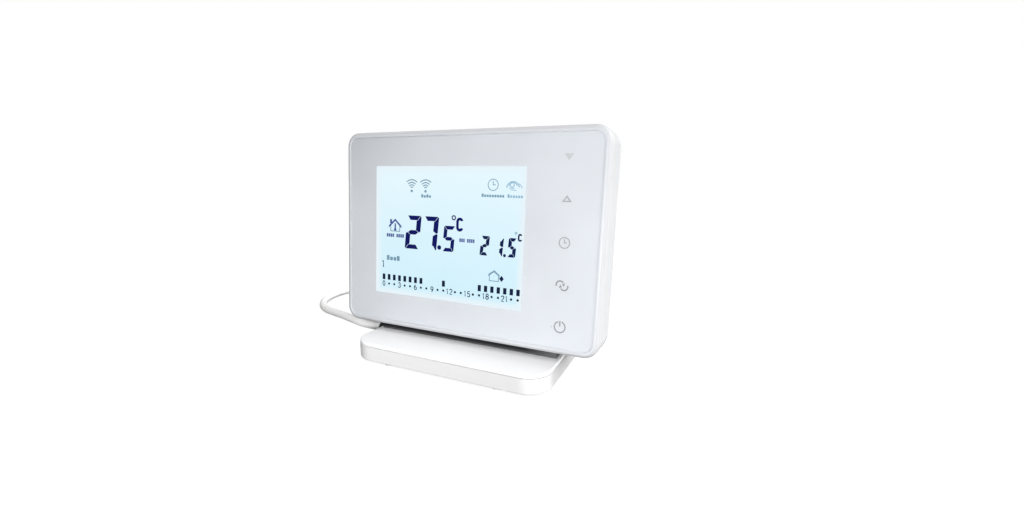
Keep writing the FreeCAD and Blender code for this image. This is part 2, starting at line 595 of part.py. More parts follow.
def make_contact_pins():
    """Two spring pins: barrels in the dock, springs, sliding plungers, and the small board below."""
    Piece("pin_board", PANEL).pad("-pin_depth - 4", "-pin_depth + 4",
                                  rectangle("26", "1.2", "0", "0", "-6.6"))
    spots = [Vector(side * value("pin_x"), 0, -value("pin_depth")) for side in (-1, 1)]
    round_pin, play = value("pin_round"), value("pin_play")
    barrels, springs, plungers = [], [], []
    for spot in spots:
        outer = cylinder(round_pin + 0.5, spot - Y_AXIS * 6, spot - Y_AXIS * 0.3)
        bore = cylinder(round_pin + play, spot - Y_AXIS * 5.5, spot - Y_AXIS * 0.3)
        barrels.append(outer.cut(bore))
        springs.append(coil_spring(0.7, 0.25, spot - Y_AXIS * 5.5, Y_AXIS, 1.3, 4))
        tip = spot + Y_AXIS * value("pin_rise")
        stem = cylinder(round_pin, spot - Y_AXIS * 3, tip)
        plungers.append(stem.makeFillet(0.6, [edge for edge in stem.Edges
                                              if abs(edge.BoundBox.YMin - tip.y) < 1e-6]))
    shape_piece("pin_barrels", Part.makeCompound(barrels), PANEL)
    shape_piece("pin_springs", Part.makeCompound(springs), PANEL)
    shape_piece("contact_pins", Part.makeCompound(plungers), PANEL)


# ---------------------------------------------------------------- lead

exit_point = Vector(value("cord_exit_x"), value("cord_exit_y"), value("cord_exit_z"))
coil_middle = Vector(value("coil_x"), value("coil_y"), 0)
cord_round = value("cord_round")

LEAD_ROUTE = [
    exit_point, Vector(-69, -5.2, 7.8), Vector(-80.5, -1.0, 7.2), Vector(-94, 4.8, 6.0),
    Vector(-108, 10.8, 4.4), Vector(-122, 16.6, 3.0), Vector(-134, 24.5, 2.4), Vector(-143, 36, 2.4),
    Vector(-147.5, 51, 2.4), Vector(-145, 67, 2.4), Vector(-136, 81.5, 2.4), Vector(-121, 92.4, 2.4),
    Vector(-104, 95.9, 2.4),
]
TAIL_ROUTE = [
    Vector(-100, 96.2, 7.7), Vector(-88, 96.6, 7.5), Vector(-76, 97.8, 4.0), Vector(-65, 98.6, 4.0),
]


def tube(route, radius):
    """A tube along straight runs joined by tangent arcs as large as the runs allow, and its length."""
    edges = []
    start = route[0]
    for before, corner, after in zip(route, route[1:], route[2:]):
        into, out = before - corner, after - corner
        reach = 0.45 * min(into.Length, out.Length)
        into.normalize()
        out.normalize()
        half_turn = (math.pi - into.getAngle(out)) / 2
        bend = reach / math.tan(half_turn)
        inward = (into + out).normalize()
        middle = corner + inward * (bend / math.cos(half_turn) - bend)
        arc_start, arc_end = corner + into * reach, corner + out * reach
        edges.append(Part.LineSegment(start, arc_start).toShape())
        edges.append(Part.Arc(arc_start, middle, arc_end).toShape())
        start = arc_end
    edges.append(Part.LineSegment(start, route[-1]).toShape())
    section = Part.Wire([Part.makeCircle(radius, route[0], route[1] - route[0])])
    return Part.Wire(edges).makePipeShell([section], True, False), sum(edge.Length for edge in edges)


def make_strain_relief():
    """A collar inside the dock and a short tapered sleeve outside it, with the lead's two wires."""
    inner_end = exit_point + X_AXIS * 12.2
    wall_spot = Vector(-value("cradle_width") / 2, exit_point.y, exit_point.z)
    collar = cylinder(3.05, inner_end, wall_spot)
    sleeve = Part.makeCone(2.9, 2.6, wall_spot.x - exit_point.x, wall_spot, -X_AXIS)
    shape_piece("strain_relief", collar.fuse(sleeve).removeSplitter())
    wire_round, wire_drop, wire_end = 0.6, 0.9, -13.0
    leads = [cylinder(wire_round, inner_end + Vector(0, side, -wire_drop),
                      Vector(wire_end, exit_point.y + side, exit_point.z - wire_drop))
             for side in (-0.9, 0.9)]
    shape_piece("stand_leads", Part.makeCompound(leads))


def ring(inner, outer, low, high, corner):
    """A ring about the coil's axis with a rounded rectangle for its section."""
    middle = coil_middle
    shape = Part.makeCylinder(outer, high - low, middle + Z_AXIS * low)
    shape = shape.cut(Part.makeCylinder(inner, high - low, middle + Z_AXIS * low))
    circles = [edge for edge in shape.Edges if len(edge.Vertexes) == 1]
    return shape.makeFillet(corner, circles)


def make_cord():
    low = value("tie_thick")
    inner, outer = value("coil_inner") - cord_round, value("coil_outer") + cord_round
    coil = ring(inner, outer, low, low + 4 * cord_round, cord_round - 0.1)
    shape_piece("cord_coil", coil)
    lead, lead_length = tube(LEAD_ROUTE, cord_round)
    shape_piece("cord_lead", max(lead.cut(coil).Solids, key=lambda solid: solid.Volume))
    tail, tail_length = tube(TAIL_ROUTE, cord_round)
    shape_piece("cord_tail", max(tail.cut(coil).Solids, key=lambda solid: solid.Volume))
    wound = 4 * math.pi * (value("coil_inner") + value("coil_outer"))
    print(f"whole lead: {lead_length + tail_length + wound:.0f}")
    thick = value("tie_thick")
    sleeve = ring(inner - thick, outer + thick, 0, low + 4 * cord_round + thick, cord_round)
    strap = block((coil_middle.x - 4, coil_middle.y - outer - 2, 0),
                  (coil_middle.x + 4, coil_middle.y - inner + 2, low + 12))
    shape_piece("cord_tie", sleeve.common(strap).cut(coil))


def make_plug():
    """A flat USB type A plug, lying on the table at the end of the tail."""
    end, before = TAIL_ROUTE[-1], TAIL_ROUTE[-2]
    heading = math.degrees(math.atan2(end.y - before.y, end.x - before.x))
    place_plug = FreeCAD.Placement(end, FreeCAD.Rotation(Z_AXIS, heading))
    relief_long, grip_long, shell_long = 11.0, 29.0, 18.7
    grip_half, grip_rise, grip_corner = 7.9, 4.0, 1.8
    shell_half, shell_rise, shell_thick = 6.0, 2.25, 0.3
    tongue_low, strip_half, strip_thick = 0.1, 0.5, 0.2
    front, tip = relief_long + grip_long, relief_long + grip_long + shell_long
    sleeve = Part.makeCone(2.6, 3.4, relief_long, Vector(0, 0, 0), X_AXIS)
    grip = block((relief_long, -grip_half, -grip_rise), (front, grip_half, grip_rise))
    grip = grip.makeFillet(grip_corner, [edge for edge in grip.Edges if edge.BoundBox.XLength > 1])
    shape_piece("plug_grip", grip.fuse(sleeve).removeSplitter(), place_plug)
    inner_half, inner_rise = shell_half - shell_thick, shell_rise - shell_thick
    can = block((front, -shell_half, -shell_rise), (tip, shell_half, shell_rise))
    hollow = block((front, -inner_half, -inner_rise), (tip, inner_half, inner_rise))
    shape_piece("plug_shell", can.cut(hollow), place_plug)
    tongue = block((front, -inner_half, tongue_low), (tip - 0.6, inner_half, inner_rise))
    shape_piece("plug_tongue", tongue, place_plug)
    strips = [block((front + 8, y - strip_half, tongue_low - strip_thick),
                    (tip - 2, y + strip_half, tongue_low)) for y in (-3.5, -1.0, 1.0, 3.5)]
    shape_piece("plug_contacts", Part.makeCompound(strips), place_plug)


# ---------------------------------------------------------------- build and write

for make in (make_front_shell, make_glass, make_display, make_board, make_rear_cover, make_dock_pads,
             make_base, make_cover, make_feet_and_ballast, make_cradle, make_back_rest,
             make_contact_pins, make_strain_relief, make_cord, make_plug):
    make()

doc.recompute()
for item in doc.Objects:
    if "Invalid" in item.State or "Error" in item.State:
        raise ValueError(f"{item.Label} failed: {item.State}")

nodes = [item for item in doc.Objects if item.TypeId in ("PartDesign::Body", "Part::Feature")
         and item.getParentGeoFeatureGroup() is None]
os.makedirs("parts", exist_ok=True)
for node in nodes:
    if node.Shape.isNull() or not node.Shape.isValid():
        raise ValueError(f"{node.Label} has no valid shape")
    node.Shape.exportStep(f"parts/{node.Label}.step")
print(len(nodes), "nodes")
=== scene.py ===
import json
import math

import bpy
from mathutils import Euler, Matrix, Vector


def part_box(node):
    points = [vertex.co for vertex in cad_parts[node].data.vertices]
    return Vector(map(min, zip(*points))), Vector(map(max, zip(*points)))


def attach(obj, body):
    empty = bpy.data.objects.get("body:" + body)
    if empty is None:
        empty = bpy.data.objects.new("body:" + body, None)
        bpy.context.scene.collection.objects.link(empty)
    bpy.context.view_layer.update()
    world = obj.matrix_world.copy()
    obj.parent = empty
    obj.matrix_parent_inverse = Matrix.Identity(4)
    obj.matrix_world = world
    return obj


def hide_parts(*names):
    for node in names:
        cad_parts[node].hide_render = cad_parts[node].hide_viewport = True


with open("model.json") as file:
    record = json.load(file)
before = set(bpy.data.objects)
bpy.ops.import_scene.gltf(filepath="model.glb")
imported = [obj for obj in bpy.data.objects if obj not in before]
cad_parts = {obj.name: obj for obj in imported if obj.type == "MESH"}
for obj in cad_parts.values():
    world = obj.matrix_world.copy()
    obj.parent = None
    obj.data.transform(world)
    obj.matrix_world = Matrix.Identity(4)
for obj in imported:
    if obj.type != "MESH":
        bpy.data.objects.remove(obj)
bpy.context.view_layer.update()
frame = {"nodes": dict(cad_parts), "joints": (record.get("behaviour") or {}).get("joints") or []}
scene = bpy.context.scene
MM = 0.001

# ================================================================ sizes on the panel

GLASS_THICK = 2.0 * MM
GLASS_SINK = 0.15 * MM
GLASS_TALL = 95.3 * MM
GLASS_CORNER = 4.6 * MM
GLASS_MIDDLE = 49.5 * MM
BEAD_GROWTH = 0.26 * MM
BEAD_THICK = 0.1 * MM

LCD_MIDDLE = Vector((-8.6, 49.5)) * MM
WINDOW_WIDE = 84.8 * MM
WINDOW_TALL = 66.3 * MM
WINDOW_CORNER = 0.6 * MM
EDGE_BAND = 3.8 * MM
SHEET_OVERLAP = 1.5 * MM

# ================================================================ camera, floor and light

CAMERA_PLACE = Vector((0.10819, -0.19244, 0.09413))
CAMERA_DOWN, CAMERA_LEFT, CAMERA_ROLL = 11.648, 23.82, 0.4
LENS, SENSOR = 15.34, 36.0


def make_camera():
    """A wide lens close to the display, a little to its right and just above its middle."""
    data = bpy.data.cameras.new("camera")
    data.sensor_width = SENSOR
    data.lens = LENS
    camera = bpy.data.objects.new("camera", data)
    scene.collection.objects.link(camera)
    turn = Euler((math.radians(90 - CAMERA_DOWN), 0, math.radians(CAMERA_LEFT))).to_matrix()
    roll = Matrix.Rotation(math.radians(CAMERA_ROLL), 3, "Z")
    camera.matrix_world = (turn @ roll).to_4x4()
    camera.location = CAMERA_PLACE
    scene.camera = camera


FLOOR_HALF = 4.0
FLOOR_GLOW = 0.9
ROOM_LOW, ROOM_HIGH, ROOM_RIGHT = 0.05, 1.05, 9.5
RIGHT_FROM = 0.5
ABOVE_FROM, ABOVE_TO = 0.1, 0.5
KEY_PLACE = Vector((0.19, -0.36, 0.06))
KEY_AIM = Vector((0.03, 0.0, -0.03))
KEY_SIZE = 0.12
KEY_POWER = 1.45


def add_node(tree, kind, **inputs):
    """A node of that kind; each input is a value, or another node's output to link."""
    made = tree.nodes.new(kind)
    for name, value in inputs.items():
        socket = made.inputs[name.replace("_", " ")]
        if isinstance(value, bpy.types.NodeSocket):
            tree.links.new(value, socket)
        else:
            socket.default_value = value
    return made


def calculate(tree, operation, *values):
    """The result of a Math node on those values, each a number or another node's output."""
    made = tree.nodes.new("ShaderNodeMath")
    made.operation = operation
    for value, socket in zip(values, made.inputs):
        if isinstance(value, bpy.types.NodeSocket):
            tree.links.new(value, socket)
        else:
            socket.default_value = value
    return made.outputs["Value"]


def make_floor():
    """A flat floor, burnt out to white by its own glow so that only faint shadows show on it."""
    mesh = bpy.data.meshes.new("floor")
    corners = [(-FLOOR_HALF, -FLOOR_HALF, 0), (FLOOR_HALF, -FLOOR_HALF, 0),
               (FLOOR_HALF, FLOOR_HALF, 0), (-FLOOR_HALF, FLOOR_HALF, 0)]
    mesh.from_pydata(corners, [], [(0, 1, 2, 3)])
    floor = bpy.data.objects.new("floor", mesh)
    scene.collection.objects.link(floor)
    shade = Shade("floor", (0.14, 0.14, 0.14), 0.7)
    shade.set("Emission Color", (1, 1, 1, 1))
    rays = shade.add("ShaderNodeLightPath")
    shade.link(calculate(shade.tree, "MULTIPLY", rays.outputs["Is Camera Ray"], FLOOR_GLOW),
               "Emission Strength")
    mesh.materials.append(shade.material)


def make_room():
    """Pale light from overhead, a window high on the right, and a white backdrop past the floor."""
    world = bpy.data.worlds.new("room")
    scene.world = world
    world.use_nodes = True
    tree = world.node_tree
    way = add_node(tree, "ShaderNodeTexCoord").outputs["Generated"]
    apart = add_node(tree, "ShaderNodeSeparateXYZ", Vector=way)
    rise = add_node(tree, "ShaderNodeMapRange", Value=apart.outputs["Z"], To_Min=ROOM_LOW, To_Max=ROOM_HIGH)
    right = add_node(tree, "ShaderNodeMapRange", Value=apart.outputs["X"], From_Min=RIGHT_FROM,
                     To_Max=ROOM_RIGHT)
    above = add_node(tree, "ShaderNodeMapRange", Value=apart.outputs["Z"], From_Min=ABOVE_FROM,
                     From_Max=ABOVE_TO)
    window = calculate(tree, "MULTIPLY", right.outputs["Result"], above.outputs["Result"])
    light = calculate(tree, "ADD", rise.outputs["Result"], window)
    seen = add_node(tree, "ShaderNodeLightPath").outputs["Is Camera Ray"]
    tree.links.new(calculate(tree, "MAXIMUM", light, seen), tree.nodes["Background"].inputs["Strength"])
    tree.nodes["Background"].inputs["Color"].default_value = (1, 1, 1, 1)


def make_key_light():
    """One softbox near the display, in front of it and to its right."""
    data = bpy.data.lights.new("softbox", "AREA")
    data.shape = "SQUARE"
    data.size = KEY_SIZE
    data.energy = KEY_POWER
    light = bpy.data.objects.new("softbox", data)
    scene.collection.objects.link(light)
    light.location = KEY_PLACE
    light.rotation_euler = (KEY_AIM - KEY_PLACE).to_track_quat("-Z", "Y").to_euler()


# ================================================================ materials

CLOUD_WIDE = 28
GLOSS_PATCH_WIDE = 6
RELIEF_EDGE = -55.5 * MM


class Shade:
    """A material on the Principled shader, with short ways to vary it over the surface."""

    def __init__(self, name, colour, roughness, metallic=0.0):
        self.material = bpy.data.materials.new(name)
        self.material.use_nodes = True
        self.tree = self.material.node_tree
        self.shader = self.tree.nodes["Principled BSDF"]
        self.set("Base Color", (*colour, 1))
        self.set("Roughness", roughness)
        self.set("Metallic", metallic)
        self.place = self.add("ShaderNodeTexCoord").outputs["Object"]

    def set(self, socket, value):
        self.shader.inputs[socket].default_value = value

    def add(self, kind, **inputs):
        return add_node(self.tree, kind, **inputs)

    def link(self, output, socket):
        self.tree.links.new(output, self.shader.inputs[socket])

    def stretched(self, scale):
        return self.add("ShaderNodeMapping", Vector=self.place, Scale=scale).outputs["Vector"]

    def noise(self, size, detail=3.0, place=None):
        """Soft mottling whose blots are about that many millimetres wide, from 0 to 1."""
        made = self.add("ShaderNodeTexNoise", Vector=place or self.place, Scale=1 / (size * MM),
                        Detail=detail, Roughness=0.55)
        return made.outputs["Fac"]

    def between(self, value, low, high, start=0.3, end=0.7):
        """From low to high as value goes from start to end."""
        made = self.add("ShaderNodeMapRange", Value=value, From_Min=start, From_Max=end, To_Min=low,
                        To_Max=high)
        return made.outputs["Result"]

    def mix(self, share, first, second):
        """A colour that goes from first to second as share goes from 0 to 1."""
        made = self.tree.nodes.new("ShaderNodeMix")
        made.data_type = "RGBA"
        sockets = {"Factor": share, "A": first, "B": second}
        for socket in made.inputs:
            if socket.enabled and socket.name in sockets:
                value = sockets[socket.name]
                if isinstance(value, bpy.types.NodeSocket):
                    self.tree.links.new(value, socket)
                else:
                    socket.default_value = (*value, 1) if socket.name != "Factor" else value
        return next(output for output in made.outputs if output.enabled)

    def times(self, first, second):
        """Two colours multiplied."""
        made = self.add("ShaderNodeVectorMath")
        made.operation = "MULTIPLY"
        self.tree.links.new(first, made.inputs[0])
        self.tree.links.new(second, made.inputs[1])
        return made.outputs["Vector"]

    def along(self, axis, low, high, start, end):
        """From low to high as that coordinate goes from start to end."""
        apart = self.add("ShaderNodeSeparateXYZ", Vector=self.place)
        return self.between(apart.outputs[axis], low, high, start, end)

    def tint(self, value, first, second, start=0.3, end=0.7):
        """Base colour from first to second as value goes from start to end."""
        self.link(self.mix(self.between(value, 0, 1, start, end), first, second), "Base Color")

    def cloud(self, colour, dimmest):
        """Base colour from another node, under slow clouds that dim it to that share of itself."""
        clouds = self.mix(self.noise(CLOUD_WIDE), (dimmest, dimmest, dimmest), (1.0, 1.0, 1.0))
        self.link(self.times(colour, clouds), "Base Color")

    def gloss(self, value, low, high):
        self.link(self.between(value, low, high), "Roughness")

    def bump(self, height, depth):
        """Relief that many millimetres deep."""
        made = self.add("ShaderNodeBump", Height=height, Distance=depth * MM)
        self.link(made.outputs["Normal"], "Normal")


def shaded(colour, factor):
    return tuple(channel * factor for channel in colour)


def grained(name, colour, roughness, grain, depth):
    """Moulded plastic: a fine spark-eroded grain and patches of gloss."""
    shade = Shade(name, colour, roughness)
    shade.gloss(shade.noise(GLOSS_PATCH_WIDE), roughness * 0.85, roughness * 1.15)
    shade.bump(shade.noise(grain, detail=4), depth)
    return shade


def moulded(name, colour, roughness, grain, depth):
    """Grained plastic of one colour, with slow changes of tone."""
    shade = grained(name, colour, roughness, grain, depth)
    shade.tint(shade.noise(CLOUD_WIDE), shaded(colour, 0.975), shaded(colour, 1.015))
    return shade


def case_plastic():
    """White sides; painted shade makes the rounded edge greyer and the frame round the glass close to its
    ink in tone, by the way each surface faces.
    """
    sides, edge, face = (0.615, 0.622, 0.632), (0.44, 0.447, 0.46), (0.51, 0.525, 0.553)
    shade = grained("case_white", sides, 0.34, grain=0.7, depth=0.003)
    shade.set("Specular IOR Level", 0.2)
    # Painted shade: colour chosen by the way each surface faces, darkest on the rounded edge and mid grey
    # on the front frame.
    normal = shade.add("ShaderNodeTexCoord").outputs["Normal"]
    forward = shade.add("ShaderNodeSeparateXYZ", Vector=normal).outputs["Y"]
    sides_and_painted_shade_edge = shade.mix(shade.between(forward, 0, 1, -0.1, -0.35), sides, edge)
    shade.cloud(shade.mix(shade.between(forward, 0, 1, -0.93, -0.99), sides_and_painted_shade_edge, face), 0.975)
    return shade


def rear_plastic():
    """The rear cover's grain is deeper than the front's."""
    return moulded("rear_white", (0.62, 0.625, 0.64), 0.46, grain=0.45, depth=0.02)


def stand_plastic():
    """White, with painted shade that makes it greyer toward its right end, where the light falls stronger.
    """
    left, right = (0.745, 0.745, 0.745), (0.545, 0.542, 0.545)
    low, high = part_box("stand_base")
    shade = grained("stand_white", left, 0.34, grain=0.6, depth=0.006)
    # Painted shade: greyer toward the right end, to offset the stronger light there.
    shade.cloud(shade.mix(shade.along("X", 0, 1, low.x, high.x), left, right), 0.98)
    return shade


def cover_plastic():
    """White, with painted shade that greys it from its middle to its right end, and painted light that
    makes it palest from the dock's front backwards.
    """
    left, right, painted_light_beside_dock = (0.81, 0.81, 0.812), (0.70, 0.70, 0.705), (0.97, 0.97, 0.975)
    band = 9 * MM
    low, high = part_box("stand_cover")
    dock_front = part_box("dock_cradle")[0].y
    shade = grained("cover_white", left, 0.34, grain=0.9, depth=0.0015)
    shade.set("Specular IOR Level", 0.25)
    # Painted shade: greyer from the middle to the right end, where the light falls stronger.
    across = shade.mix(shade.along("X", 0, 1, (low.x + high.x) / 2, high.x), left, right)
    # Painted light: paler toward the dock, against the shade under the panel.
    painted_light_near_dock = shade.along("Y", 0, 1, dock_front - band, dock_front)
    shade.cloud(shade.mix(painted_light_near_dock, across, painted_light_beside_dock), 0.985)
    return shade


def dock_plastic():
    """Black, with a painted reflection of the white cover in grey along its foot and painted light in grey
    at its right end.
    """
    black, foot_painted_reflection, end_painted_light = (0.006, 0.0065, 0.008), (0.09, 0.09, 0.095), (0.10, 0.10, 0.105)
    reflection_fade, light_fade = 1.4 * MM, 16 * MM
    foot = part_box("stand_cover")[1].z
    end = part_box("dock_cradle")[1].x
    shade = grained("dock_black", black, 0.5, grain=0.4, depth=0.015)
    shade.set("Specular IOR Level", 0.25)
    # Painted light: grey toward the right end; painted reflection: grey along the foot where the white
    # cover meets it.
    across = shade.mix(shade.along("X", 0, 1, end - light_fade, end), black, end_painted_light)
    painted_reflection_at_foot = shade.along("Z", 1, 0, foot, foot + reflection_fade)
    shade.link(shade.mix(painted_reflection_at_foot, across, foot_painted_reflection), "Base Color")
    return shade


def relief_plastic():
    """A black collar at the dock, and a white sleeve beyond it."""
    black, white = (0.018, 0.018, 0.02), (0.84, 0.84, 0.84)
    waver, blur = 0.1 * MM, 0.05 * MM
    shade = grained("relief", black, 0.5, grain=0.5, depth=0.01)
    apart = shade.add("ShaderNodeSeparateXYZ", Vector=shade.place)
    ragged = calculate(shade.tree, "MULTIPLY_ADD", shade.noise(1.5), waver, apart.outputs["X"])
    sleeve = shade.between(ragged, 1, 0, RELIEF_EDGE - blur, RELIEF_EDGE + blur)
    shade.link(shade.mix(sleeve, black, white), "Base Color")
    return shade


def printed_glass():
    """Pale lavender-grey ink, faintly cloudy, with painted shade that darkens it toward its upper left
    corner.
    """
    ink = (0.555, 0.572, 0.607)
    shade = Shade("ink_white", ink, 0.32)
    clouds = shade.between(shade.noise(34, detail=2), 0, 1)
    cloudy = shade.mix(clouds, shaded(ink, 0.97), shaded(ink, 1.02))
    # Painted shade: darker toward the upper left corner of the glass.
    shade_leftward = shade.along("X", 1, 0, -68 * MM, -22 * MM)
    shade_upward = shade.along("Y", 0, 1, 62 * MM, 95 * MM)
    corner = calculate(shade.tree, "MULTIPLY", shade_leftward, shade_upward)
    shade.link(shade.mix(corner, cloudy, shaded(ink, 0.85)), "Base Color")
    shade.gloss(shade.noise(5), 0.28, 0.38)
    shade.bump(shade.noise(0.3), 0.001)
    return shade


def sealing_bead():
    """Silicone round the glass, with painted light that makes it paler than the ink and a painted highlight
    that makes it paler still along its upper edge.
    """
    low, high = (0.60, 0.615, 0.645), (0.74, 0.76, 0.80)
    highlight_fade = 6 * MM
    top = GLASS_MIDDLE + GLASS_TALL / 2
    shade = Shade("seal_white", low, 0.3)
    # Painted highlight: paler along the upper edge of the glass.
    shade.link(shade.mix(shade.along("Y", 0, 1, top - highlight_fade, top), low, high), "Base Color")
    shade.bump(shade.noise(0.8), 0.004)
    return shade


def clear_glass():
    """A clear, faintly hazy sheet that mirrors more at a shallow angle."""
    shade = Shade("clear_glass", (1, 1, 1), 0.05)
    tree = shade.tree
    clear = shade.add("ShaderNodeBsdfTransparent", Color=(0.985, 0.992, 0.99, 1))
    haze = shade.between(shade.noise(9), 0.03, 0.07)
    mirror = shade.add("ShaderNodeBsdfGlossy", Color=(1, 1, 1, 1), Roughness=haze)
    aslant = shade.add("ShaderNodeLayerWeight", Blend=0.5).outputs["Facing"]
    share = calculate(tree, "MULTIPLY_ADD", calculate(tree, "POWER", aslant, 5.0), 0.9, 0.012)
    blend = shade.add("ShaderNodeMixShader", Fac=share)
    tree.links.new(clear.outputs["BSDF"], blend.inputs[1])
    tree.links.new(mirror.outputs["BSDF"], blend.inputs[2])
    tree.nodes.remove(shade.shader)
    tree.links.new(blend.outputs["Shader"], tree.nodes["Material Output"].inputs["Surface"])
    return shade


def lit_display():
    """Backlit liquid crystal: pale blue, whiter toward the top and in a band along its edges."""
    shade = Shade("lcd_lit", (0.02, 0.025, 0.03), 0.3)
    tree = shade.tree
    apart = shade.add("ShaderNodeSeparateXYZ", Vector=shade.place)
    height = calculate(tree, "MULTIPLY_ADD", shade.noise(30, detail=1), 20 * MM, apart.outputs["Y"])
    body = shade.mix(shade.between(height, 0, 1, 15 * MM, 88 * MM), (0.60, 0.86, 0.965), (0.79, 0.935, 1.0))
    edges = []
    for axis, middle, half in (("X", LCD_MIDDLE.x, WINDOW_WIDE / 2), ("Y", LCD_MIDDLE.y, WINDOW_TALL / 2)):
        away = calculate(tree, "ABSOLUTE", calculate(tree, "SUBTRACT", apart.outputs[axis], middle))
        edges.append(shade.between(away, 0, 1, half - EDGE_BAND, half - EDGE_BAND / 3))
    shade.link(shade.mix(calculate(tree, "MAXIMUM", *edges), body, (0.80, 0.90, 0.955)), "Emission Color")
    shade.set("Emission Strength", 0.975)
    return shade


def crystal(name, colour):
    """Liquid crystal that is switched on: it stops the backlight, a little unevenly."""
    shade = Shade(name, colour, 0.5)
    shade.tint(shade.noise(2.4), shaded(colour, 0.9), shaded(colour, 1.12))
    shade.set("Specular IOR Level", 0.0)
    shade.set("Emission Color", (*colour, 1))
    shade.set("Emission Strength", 0.25)
    return shade


def key_ink(name, tone):
    """Grey printing on the glass, a little uneven as screened ink is."""
    colour = (tone * 0.97, tone, tone * 1.04)
    shade = Shade(name, colour, 0.4)
    shade.tint(shade.noise(1.1), shaded(colour, 0.94), shaded(colour, 1.06))
    return shade


def metal(name, colour, roughness, brush):
    """Plated or drawn metal, with fine streaks along X."""
    shade = Shade(name, colour, roughness, metallic=1.0)
    streaks = shade.noise(brush, place=shade.stretched((0.06, 1, 1)))
    shade.gloss(streaks, roughness * 0.7, roughness * 1.4)
    shade.tint(shade.noise(3), shaded(colour, 0.93), shaded(colour, 1.04))
    shade.bump(streaks, 0.003)
    return shade


def vinyl_cord():
    """White vinyl, faintly mottled."""
    shade = Shade("cord_vinyl", (0.95, 0.95, 0.945), 0.36)
    shade.tint(shade.noise(12), (0.94, 0.94, 0.935), (0.965, 0.965, 0.96))
    shade.gloss(shade.noise(3), 0.3, 0.44)
    shade.bump(shade.noise(1.4), 0.02)
    return shade


def rubber(name, colour):
    """Dull, with a fine grain."""
    shade = Shade(name, colour, 0.7)
    shade.tint(shade.noise(4), shaded(colour, 0.9), shaded(colour, 1.08))
    shade.bump(shade.noise(0.35, detail=5), 0.03)
    return shade


def hook_and_loop():
    """A soft strap: short fibres that stand in every direction."""
    shade = Shade("strap", (0.75, 0.75, 0.75), 0.85)
    fibres = shade.noise(0.35, detail=6)
    shade.tint(fibres, (0.55, 0.55, 0.56), (0.85, 0.85, 0.85))
    shade.bump(fibres, 0.25)
    shade.set("Sheen Weight", 0.4)
    return shade


def solder_mask():
    """Green lacquer: lighter diamonds in a darker ground that stands a little higher."""
    shade = Shade("solder_mask", (0.02, 0.16, 0.07), 0.28)
    cells = shade.add("ShaderNodeTexVoronoi", Vector=shade.place, Scale=260.0)
    cells.distance = "MANHATTAN"
    ground = shade.between(cells.outputs["Distance"], 0, 1, 0.28, 0.34)
    shade.link(shade.mix(ground, (0.02, 0.2, 0.09), (0.012, 0.12, 0.05)), "Base Color")
    shade.bump(ground, 0.03)
    return shade


def speckled(name, colour, other, size, roughness=0.5):
    """Small parts seen only when the case or the stand is open: two tones in specks."""
    shade = Shade(name, colour, roughness)
    shade.tint(shade.noise(size), colour, other)
    shade.gloss(shade.noise(size * 3), roughness * 0.8, roughness * 1.2)
    shade.bump(shade.noise(size), 0.01)
    return shade


def dress(shade, *names):
    """Gives those nodes that material alone."""
    for name in names:
        data = frame["nodes"][name].data
        data.materials.clear()
        data.materials.append(shade.material)


def dress_nodes():
    dress(case_plastic(), "front_shell")
    dress(rear_plastic(), "rear_cover")
    dress(stand_plastic(), "stand_base")
    dress(cover_plastic(), "stand_cover")
    dress(dock_plastic(), "dock_cradle", "back_rest")
    dress(relief_plastic(), "strain_relief")
    dress(clear_glass(), "touch_glass")
    dress(metal("screw_steel", (0.6, 0.6, 0.61), 0.40, 0.5), "case_screws", "base_screws",
          "cradle_screws", "rest_screws", "board_screws")
    dress(metal("ballast_steel", (0.48, 0.48, 0.49), 0.42, 0.9), "ballast_plate")
    dress(metal("tinned_steel", (0.72, 0.72, 0.74), 0.40, 0.7), "radio_shield", "cell_clip",
          "plug_shell", "backup_cell")
    dress(metal("gold_plate", (0.86, 0.63, 0.27), 0.19, 0.4), "contact_pins", "pin_barrels",
          "dock_pads", "plug_contacts")
    dress(metal("spring_steel", (0.55, 0.55, 0.56), 0.40, 0.4), "pin_springs", "touch_springs")
    dress(rubber("foot_rubber", (0.62, 0.62, 0.62)), "rubber_feet")
    dress(rubber("seam_tape", (0.05, 0.05, 0.055)), "glass_tape")
    dress(solder_mask(), "main_board", "radio_board", "pin_board")
    dress(speckled("chip_epoxy", (0.02, 0.02, 0.022), (0.035, 0.035, 0.037), 0.5), "controller_chip",
          "small_chips", "buzzer", "cell_holder")
    dress(speckled("can_sleeve", (0.02, 0.03, 0.09), (0.03, 0.05, 0.13), 2.0, 0.3), "capacitors")
    dress(speckled("glass_bead", (0.35, 0.2, 0.08), (0.25, 0.12, 0.05), 0.8, 0.25), "temperature_sensor")
    dress(speckled("striped_rubber", (0.8, 0.45, 0.5), (0.25, 0.2, 0.2), 0.4, 0.6),
          "contact_strip_upper", "contact_strip_lower")
    dress(speckled("led_resin", (0.9, 0.88, 0.7), (0.85, 0.8, 0.5), 0.8, 0.2), "backlight_leds")
    dress(speckled("lcd_edge", (0.55, 0.6, 0.62), (0.6, 0.66, 0.68), 5.0, 0.1), "lcd_cell")
    dress(speckled("acrylic_guide", (0.86, 0.9, 0.93), (0.9, 0.94, 0.96), 1.5, 0.12), "light_guide")
    dress(moulded("carrier_white", (0.7, 0.7, 0.7), 0.45, grain=0.6, depth=0.01), "display_frame")
    dress(speckled("red_vinyl", (0.5, 0.03, 0.03), (0.42, 0.02, 0.02), 1.5, 0.4), "stand_leads",
          "pad_leads")
    dress(hook_and_loop(), "cord_tie")
    dress(moulded("plug_white", (0.82, 0.82, 0.82), 0.4, grain=0.5, depth=0.012), "plug_grip")
    dress(moulded("plug_tongue", (0.8, 0.8, 0.8), 0.35, grain=0.5, depth=0.004), "plug_tongue")


# ================================================================ the panel's own frame


